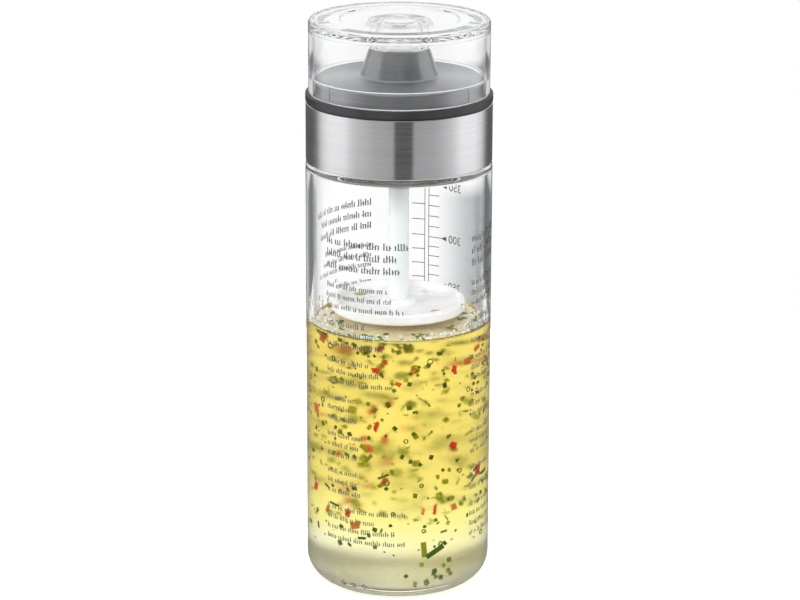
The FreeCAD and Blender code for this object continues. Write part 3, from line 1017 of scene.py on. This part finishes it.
def steel_material(name, kind, fineness, roughness, anisotropy, dark, light):
    """Stainless steel brushed round the bottle's axis. Its lines follow one another up a wall or out over
    a plate."""
    material, tree, shader, place = start_material(
        name, Metallic=1.0, Anisotropic=anisotropy, Anisotropic_Rotation=0.25)
    out_x, out_y, across = split(tree, place)
    if kind == "plate":
        out_x = math_node(tree, "MULTIPLY", out_x, out_x)
        out_y = math_node(tree, "MULTIPLY", out_y, out_y)
        out = math_node(tree, "SQRT", math_node(tree, "ADD", out_x, out_y))
        across = math_node(tree, "SUBTRACT", out, across)
    brushed = use_group(tree, brushed_lines, {"Place": place, "Across": across, "Fineness": fineness})
    line_shade = ramp(tree, brushed["Lines"], [(0.3, dark), (0.7, light)])
    band_shade = ramp(tree, brushed["Bands"], [(0.3, 0.96), (0.7, 1.0)])
    smoothest = roughness - 0.03
    roughest = roughness + 0.04
    tangent = add_node(tree, "ShaderNodeTangent", direction_type="RADIAL", axis="Z")
    fill_inputs(tree, shader, {
        "Base Color": mix_colours(tree, 1.0, line_shade, band_shade, "MULTIPLY"),
        "Roughness": map_range(tree, brushed["Lines"], 0.25, 0.75, smoothest, roughest),
        "Tangent": tangent.outputs[0],
    })
    emboss(tree, shader, brushed["Lines"], strength=0.06, depth=0.02 * mm)
    return material


collar_low, collar_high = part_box("steel_collar")
collar_radius = collar_high.x
collar_inner = collar_radius - 0.6 * mm
collar_lip_inner = collar_radius - 1.8 * mm
collar_lip_foot = collar_high.z - 0.6 * mm
collar_edge_round = 0.25 * mm
lid_sides = 256
collar = lathe("collar_sleeve", rounded_outline([
    (collar_inner, collar_low.z, collar_edge_round),
    (collar_radius, collar_low.z, collar_edge_round),
    (collar_radius, collar_high.z, collar_edge_round),
    (collar_lip_inner, collar_high.z, 0),
    (collar_lip_inner, collar_lip_foot, 0),
    (collar_inner, collar_lip_foot, 0),
]), lid_sides)
brushed_collar = steel_material(
    "brushed_collar", "wall", fineness=3000.0, roughness=0.2, anisotropy=0.95,
    dark=(0.8, 0.8, 0.815), light=(0.88, 0.88, 0.895))
dress(collar, brushed_collar)
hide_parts("steel_collar")
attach(collar, "lid")

# Seat ring
# A dark grey satin moulding between the collar and the cap, with a shadow gap under it. The cap stands on it.
ring_low, ring_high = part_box("seat_ring")
ring_inner = collar_radius - 3.3 * mm
groove_radius = collar_radius - 0.6 * mm
groove_top = ring_low.z + 0.5 * mm
ring_edge_round = 0.35 * mm
seat = lathe("seat_moulding", rounded_outline([
    (ring_inner, ring_low.z, 0),
    (groove_radius, ring_low.z, 0),
    (groove_radius, groove_top, 0),
    (ring_high.x, groove_top, ring_edge_round),
    (ring_high.x, ring_high.z, ring_edge_round),
    (ring_inner, ring_high.z, 0),
]), lid_sides)
dark_ring = moulded_material(
    "dark_ring", dark=(0.02, 0.02, 0.022), light=(0.03, 0.03, 0.033), grain=5000.0, smooth=0.32,
    grain_depth=0.25)
dress(seat, dark_ring)
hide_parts("seat_ring")
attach(seat, "lid")

# Spout plate
# One steel pressing: a skirt on the lid's core, a crowned plate and a flared spout, polished in the round.
# Painted shade: the plate's steel colour is set far darker than the collar's, for the dark reflections it
# shows.
turned_plate_painted_dark = steel_material(
    "turned_plate_painted_dark", "plate", fineness=2600.0, roughness=0.32, anisotropy=0.9,
    dark=(0.32, 0.325, 0.335), light=(0.4, 0.405, 0.415))
dress(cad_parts["spout_plate"], turned_plate_painted_dark)

# Mixing stem and disc
# A hollow stem of frosted clear plastic is pushed up into the lid, and the milky disc is snapped on its end.
# The disc has a raised rim and four holes that break up the dressing when the bottle is shaken.
milkiness = {"IOR": 1.45, "Subsurface_Weight": 0.3, "Subsurface_Scale": 3.0 * mm}
stem_plastic = moulded_material(
    "frosted_stem", dark=(0.96, 0.96, 0.96), light=(0.985, 0.985, 0.985), grain=1800.0, smooth=0.18,
    grain_depth=0.1, **milkiness)
disc_plastic = moulded_material(
    "milky_disc", dark=(0.96, 0.96, 0.955), light=(0.99, 0.99, 0.985), grain=1500.0, smooth=0.2,
    grain_depth=0.1, **milkiness)
dress(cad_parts["mixing_stem"], stem_plastic)
dress(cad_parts["mixing_disc"], disc_plastic)
disc_floor_height = 101.4 * mm
disc_hole_circle = 17.3 * mm
caught_angles = [math.radians(angle) for angle in (142, 322)]
caught_height = disc_floor_height - 0.5 * mm
caught_size = (2.5 * mm, 2.5 * mm, 0.6 * mm)
caught_sides = 24
caught = Chopped()
for angle in caught_angles:
    caught.drop(caught_size, upright, around_axis(disc_hole_circle, angle, caught_height), caught_sides)
caught_drops = mesh_piece("caught_drops", caught.vertices, caught.faces)
caught_shades = [(0.0, (0.5, 0.42, 0.06)), (1.0, (0.62, 0.42, 0.14))]
caught_dressing = chopped_material(
    "caught_dressing", caught_shades, roughness=0.25, glow=0.1, grain_scale=300.0)
dress(caught_drops, caught_dressing)
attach(caught_drops, "lid")

# Clear cap
# A thick clear moulding, pushed down over the plate: a top with a shallow round recess on sloping haunches, a
# hollow plug that shuts the spout, and a foot band with three snap pads. Thin white rings at its ledge and
# foot are painted highlights.
cap_low, cap_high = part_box("clear_cap")
cap_radius = cap_high.x
cap_foot = cap_low.z
cap_top = cap_high.z
cap_bore = cap_radius - 1.95 * mm
upper_bore = cap_bore + 0.4 * mm
cap_step = cap_foot + 5.65 * mm
cap_step_round = 0.15 * mm
cap_top_round = 1.6 * mm
cap_foot_round = 0.4 * mm
ceiling_foot = cap_top - 2.1 * mm
haunch_radius = upper_bore - 5.3 * mm
haunch_foot = ceiling_foot - 1.3 * mm
haunch_start_round = 0.3 * mm
haunch_foot_round = 2.0 * mm
recess_radius = 20.9 * mm
recess_slope = 0.6 * mm
recess_round = 0.3 * mm
recess_floor = cap_top - 0.35 * mm
seal_low, seal_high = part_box("plug_seal")
seal_room = 0.05 * mm
plug_radius = 8.2 * mm
plug_bore = plug_radius - 1.6 * mm
plug_foot = seal_low.z - 0.95 * mm
plug_groove = plug_radius - 0.6 * mm
plug_round = 0.4 * mm
plug_root_round = 0.8 * mm
plug_shoulder = plug_radius + 2.0 * mm
plug_shoulder_foot = plug_foot + 3.8 * mm
pad_foot = cap_foot + 0.8 * mm
pad_top = pad_foot + 4.6 * mm
pad_edge = 0.02 * mm
pad_proud = 0.2 * mm
pad_half_sweep = math.radians(9)
pad_angles = [math.radians(angle) for angle in (90, 210, 330)]
cap_sides = 600


def pad_swell(angle, radius, height):
    """How far the snap pads narrow the band inside the cap's foot."""
    on_band = abs(radius - cap_bore) < pad_edge and pad_foot < height < pad_top
    near = min(abs(math.remainder(angle - middle, math.tau)) for middle in pad_angles)
    return -pad_proud if on_band and near <= pad_half_sweep else 0


cap = lathe("cap_shell", rounded_outline([
    (0, ceiling_foot, 0),
    (plug_bore, ceiling_foot, plug_root_round),
    (plug_bore, plug_foot, plug_round),
    (plug_radius, plug_foot, plug_round),
    (plug_radius, seal_low.z - seal_room, 0),
    (plug_groove, seal_low.z - seal_room, 0),
    (plug_groove, seal_high.z + seal_room, 0),
    (plug_radius, seal_high.z + seal_room, 0),
    (plug_radius, plug_shoulder_foot, 0),
    (plug_shoulder, plug_shoulder_foot, plug_round),
    (plug_shoulder, ceiling_foot, plug_root_round),
    (haunch_radius, ceiling_foot, haunch_start_round),
    (upper_bore, haunch_foot, haunch_foot_round),
    (upper_bore, cap_step, cap_step_round),
    (cap_bore, cap_step, cap_step_round),
    (cap_bore, pad_top, 0),
    (cap_bore, pad_top - pad_edge, 0),
    (cap_bore, pad_foot + pad_edge, 0),
    (cap_bore, pad_foot, 0),
    (cap_bore, cap_foot, cap_foot_round),
    (cap_radius, cap_foot, cap_foot_round),
    (cap_radius, cap_top, cap_top_round),
    (recess_radius, cap_top, recess_round),
    (recess_radius - recess_slope, recess_floor, recess_round),
    (0, recess_floor, 0),
]), cap_sides, pad_swell)
# Painted shade for the cap: its colour turns blue-grey towards its edges.
cap_painted_edge_stops = [
    (0.0, (1.0, 1.0, 1.0)), (0.5, (0.995, 0.997, 1.0)), (0.8, (0.965, 0.975, 0.985)),
    (1.0, (0.82, 0.85, 0.89)),
]
dress(cap, clear_material("clear_cap_plastic", cap_painted_edge_stops, ior=1.5, size=80.0, haze=0.02, ripple=0.01))
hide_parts("clear_cap")
highlight_ring_height = 0.22 * mm
highlight_ring_margin = 0.03 * mm
highlight_ring_inset = 0.35 * mm


def frost_ring(name, inner, outer, ledge):
    """A thin white ring just above a ledge: a painted highlight."""
    foot = ledge + highlight_ring_margin
    top = foot + highlight_ring_height
    return lathe(name, [(inner, foot), (outer, foot), (outer, top), (inner, top)], cap_sides)


# Painted highlights: white rings at the cap's ledge and foot, for the bright lines that light draws along
# them.
ledge_highlight = frost_ring("ledge_highlight", cap_bore + highlight_ring_margin, upper_bore - highlight_ring_margin, cap_step)
foot_highlight = frost_ring("foot_highlight", cap_bore + highlight_ring_inset, cap_radius - highlight_ring_inset, cap_foot)
highlight_white = moulded_material(
    "painted_highlight_edge", dark=(0.9, 0.91, 0.92), light=(0.96, 0.96, 0.96), grain=3000.0, smooth=0.4,
    grain_depth=0.3)
for line in (ledge_highlight, foot_highlight):
    dress(line, highlight_white)
for piece in (cap, ledge_highlight, foot_highlight):
    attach(piece, "cap")

# Floor, light and camera
# A plain pale floor in a white studio, with soft boxes at both sides, above and in front, seen through a long
# lens a little above the bottle. Glass and steel see darker panels round the room, which draw their edges.
floor_half_width = 360.0 * mm
floor_half_depth = 300.0 * mm
floor_drop = 0.05 * mm
floor_white = (0.86, 0.86, 0.86, 1)
floor_in_steel = (0.2, 0.2, 0.2, 1)
floor_in_glass = (0.04, 0.04, 0.04, 1)
floor_glow = 0.3
foot_glow_inner = 40.0 * mm
foot_glow_outer = 60.0 * mm
open_floor_shades = [(0.0, 1.0), (0.24, 1.0), (0.34, 0.8), (0.55, 0.7), (0.65, 0.8), (1.0, 0.8)]
floor = mesh_piece("floor", [
    (across * floor_half_width, along * floor_half_depth, -floor_drop)
    for across, along in ((-1, -1), (1, -1), (1, 1), (-1, 1))
], [(0, 1, 2, 3)], smooth=False)
floor_material, tree, shader, place = start_material("pale_floor", Roughness=0.6)
path = add_node(tree, "ShaderNodeLightPath").outputs
spot = split(tree, place)
aside = math_node(tree, "ABSOLUTE", spot[0])
turn = math_node(tree, "DIVIDE", math_node(tree, "ARCTAN2", aside, spot[1]), math.pi)
reach = add_node(tree, "ShaderNodeVectorMath", {0: place}, operation="LENGTH").outputs["Value"]
under = map_range(tree, reach, foot_glow_inner, foot_glow_outer, 1.0, 0.0)
floor_shade = mix_colours(tree, path["Is Glossy Ray"], floor_white, floor_in_steel)
floor_shade = mix_colours(tree, path["Is Transmission Ray"], floor_shade, floor_in_glass)
seen = math_node(tree, "MULTIPLY", path["Is Camera Ray"], floor_glow)
fill_inputs(tree, shader, {
    "Base Color": floor_shade,
    "Emission Color": mix_colours(tree, under, ramp(tree, turn, open_floor_shades), white),
    "Emission Strength": math_node(tree, "MAXIMUM", seen, path["Is Transmission Ray"]),
})
dress(floor, floor_material)

card_back = 300.0 * mm
card_half_width = 240.0 * mm
card_height = 190.0 * mm
card = mesh_piece("back_card", [
    (across * card_half_width, card_back, up * card_height)
    for across, up in ((-1, 0), (1, 0), (1, 1), (-1, 1))
], [(0, 1, 2, 3)], smooth=False)
dark_panel = (0.2, 0.21, 0.225)
dim_panel = (0.42, 0.435, 0.45)
right_panels = [
    (0.55, 1.0), (0.6, (0.6, 0.615, 0.63)), (0.66, (0.34, 0.355, 0.37)), (0.78, (0.17, 0.18, 0.195)),
]
low_card = [(0.16, dark_panel), (0.23, dim_panel), (0.28, 1.0), *right_panels]
high_card = [(0.22, dark_panel), (0.34, dim_panel), (0.4, 1.0), *right_panels]
bright_band = [(0.02, 0.75), (0.2, 1.0), (0.8, 1.0), (0.98, 0.65)]
band_heights = [(0.32, 0.0), (0.36, 1.0), (0.47, 1.0), (0.5, 0.0), (0.6, 0.0), (0.64, 1.0)]
card_material, tree, shader, place = start_material(
    "white_card", Roughness=0.6, Base_Color=(0, 0, 0, 1), Emission_Strength=1.0)
spot = split(tree, place)
along_card = map_range(tree, spot[0], -card_half_width, card_half_width)
up_card = math_node(tree, "DIVIDE", spot[2], card_height)
rise = ramp(tree, up_card, [(0.36, 0.0), (0.47, 1.0)])
card_shade = mix_colours(tree, rise, ramp(tree, along_card, low_card), ramp(tree, along_card, high_card))
band_shade = ramp(tree, along_card, bright_band)
fill_inputs(tree, shader, {
    "Emission Color": mix_colours(tree, ramp(tree, up_card, band_heights), card_shade, band_shade),
})
dress(card, card_material)
card.visible_camera = False
card.visible_diffuse = False
card.visible_glossy = False
card.visible_shadow = False

world = bpy.data.worlds.new("white_studio")
scene.world = world
world.use_nodes = True
tree = world.node_tree
tree.nodes.clear()
direction = add_node(tree, "ShaderNodeTexCoord").outputs["Generated"]
to_right, to_back, height = split(tree, direction)
to_front = math_node(tree, "MULTIPLY", to_back, -1.0)
azimuth = math_node(tree, "ARCTAN2", to_right, to_front)
gap_centre = math.radians(5.6)
off_front = math_node(tree, "ABSOLUTE", math_node(tree, "SUBTRACT", azimuth, gap_centre))
from_front = math_node(tree, "DIVIDE", off_front, math.pi)
around = math_node(tree, "ADD", math_node(tree, "DIVIDE", azimuth, math.tau), 0.5)
low_panels = ramp(tree, from_front, [
    (0.0, 0.06), (0.057, 0.06), (0.07, 0.4), (0.2, 0.47), (0.36, 0.75), (0.43, 1.0), (0.56, 1.0),
    (0.64, 0.75), (0.71, 0.2), (0.76, 0.1), (1.0, 0.1),
])
low_openings = ramp(tree, around, [
    (0.0, 1.0), (0.03, 1.0), (0.045, dim_panel), (0.06, dark_panel), (0.12, dark_panel), (0.18, 1.0),
    (0.28, 1.0), (0.32, 0.7), (0.37, 0.4), (0.5, 0.35), (0.63, 0.4), (0.68, 0.7), (0.72, 1.0), (0.82, 1.0),
    (0.88, (0.13, 0.14, 0.155)), (0.94, (0.18, 0.19, 0.205)), (0.965, (0.4, 0.415, 0.43)), (0.978, 0.75),
    (0.985, 1.0),
])
high_sides = [(0.19, 0.95), (0.3, 0.95), (0.34, 0.28), (0.47, 0.26), (0.5, 0.34), (0.53, 0.3), (0.57, 0.1),
              (0.68, 0.1), (0.72, 0.95), (0.81, 0.95)]
high_panels = ramp(tree, around, high_sides)
middle_panels = ramp(tree, around, [(0.0, 1.0), (0.15, 1.0), *high_sides, (0.85, 1.0), (1.0, 1.0)])
dark_rear = ramp(tree, around, [(0.0, 0.12), (0.15, 0.16), *high_sides, (0.85, 0.08), (1.0, 0.12)])


def rising(low, high):
    """How far a direction has risen between two angles above the horizon, in degrees, from 0 to 1."""
    return map_range(tree, height, math.sin(math.radians(low)), math.sin(math.radians(high)))


above = mix_colours(tree, rising(48, 65), dark_rear, white)
through_shade = mix_colours(tree, rising(36, 44), middle_panels, white)
through_shade = mix_colours(tree, rising(2, 5), low_openings, through_shade)
gloss_shade = mix_colours(tree, rising(17, 21), high_panels, above)
gloss_shade = mix_colours(tree, rising(2, 5), low_panels, gloss_shade)
path = add_node(tree, "ShaderNodeLightPath").outputs
room_shade = (0.72, 0.72, 0.72, 1)
shade = mix_colours(tree, path["Is Glossy Ray"], room_shade, gloss_shade)
shade = mix_colours(tree, path["Is Transmission Ray"], shade, through_shade)
shade = mix_colours(tree, path["Is Camera Ray"], shade, white)
studio = add_node(tree, "ShaderNodeBackground", {"Color": shade, "Strength": 1.0})
add_node(tree, "ShaderNodeOutputWorld", {"Surface": studio.outputs[0]})

# Each soft box has its place and its width in metres, and its power in watts.
lamp_aim = Vector((0, 0, 0.1))
soft_boxes = [
    ("left_box", Vector((-0.75, -0.35, 0.45)), 0.5, 3.6),
    ("right_box", Vector((0.8, -0.25, 0.4)), 0.5, 2.8),
    ("top_box", Vector((0.1, 0.1, 0.95)), 0.6, 3.0),
    ("front_box", Vector((-0.15, -0.9, 0.6)), 0.5, 5.5),
]
for name, spot, size, power in soft_boxes:
    lamp = bpy.data.lights.new(name, "AREA")
    lamp.shape = "DISK"
    lamp.size = size
    lamp.energy = power
    holder = bpy.data.objects.new(name, lamp)
    holder.location = spot
    holder.rotation_euler = (lamp_aim - spot).to_track_quat("-Z", "Y").to_euler()
    holder.visible_glossy = False
    holder.visible_transmission = False
    scene.collection.objects.link(holder)

photo_width = 800
focal_pixels = 2993.9
axis_column = 398.5
camera_back = 1011.9 * mm
camera_height = 400.7 * mm
camera_pitch = math.radians(16.45)
camera_roll = math.radians(0.2)
sensor_width = 36.0
lens = bpy.data.cameras.new("long_lens")
lens.sensor_width = sensor_width
lens.lens = focal_pixels / photo_width * sensor_width
lens.shift_x = 0.5 - axis_column / photo_width
camera = bpy.data.objects.new("camera", lens)
camera.location = (0, -camera_back, camera_height)
tilt = Matrix.Rotation(math.pi / 2 - camera_pitch, 3, "X")
camera.rotation_euler = (tilt @ Matrix.Rotation(camera_roll, 3, "Z")).to_euler()
scene.collection.objects.link(camera)
scene.camera = camera
scene.view_settings.view_transform = "Standard"
scene.cycles.max_bounces = 32
scene.cycles.glossy_bounces = 24
scene.cycles.transmission_bounces = 32
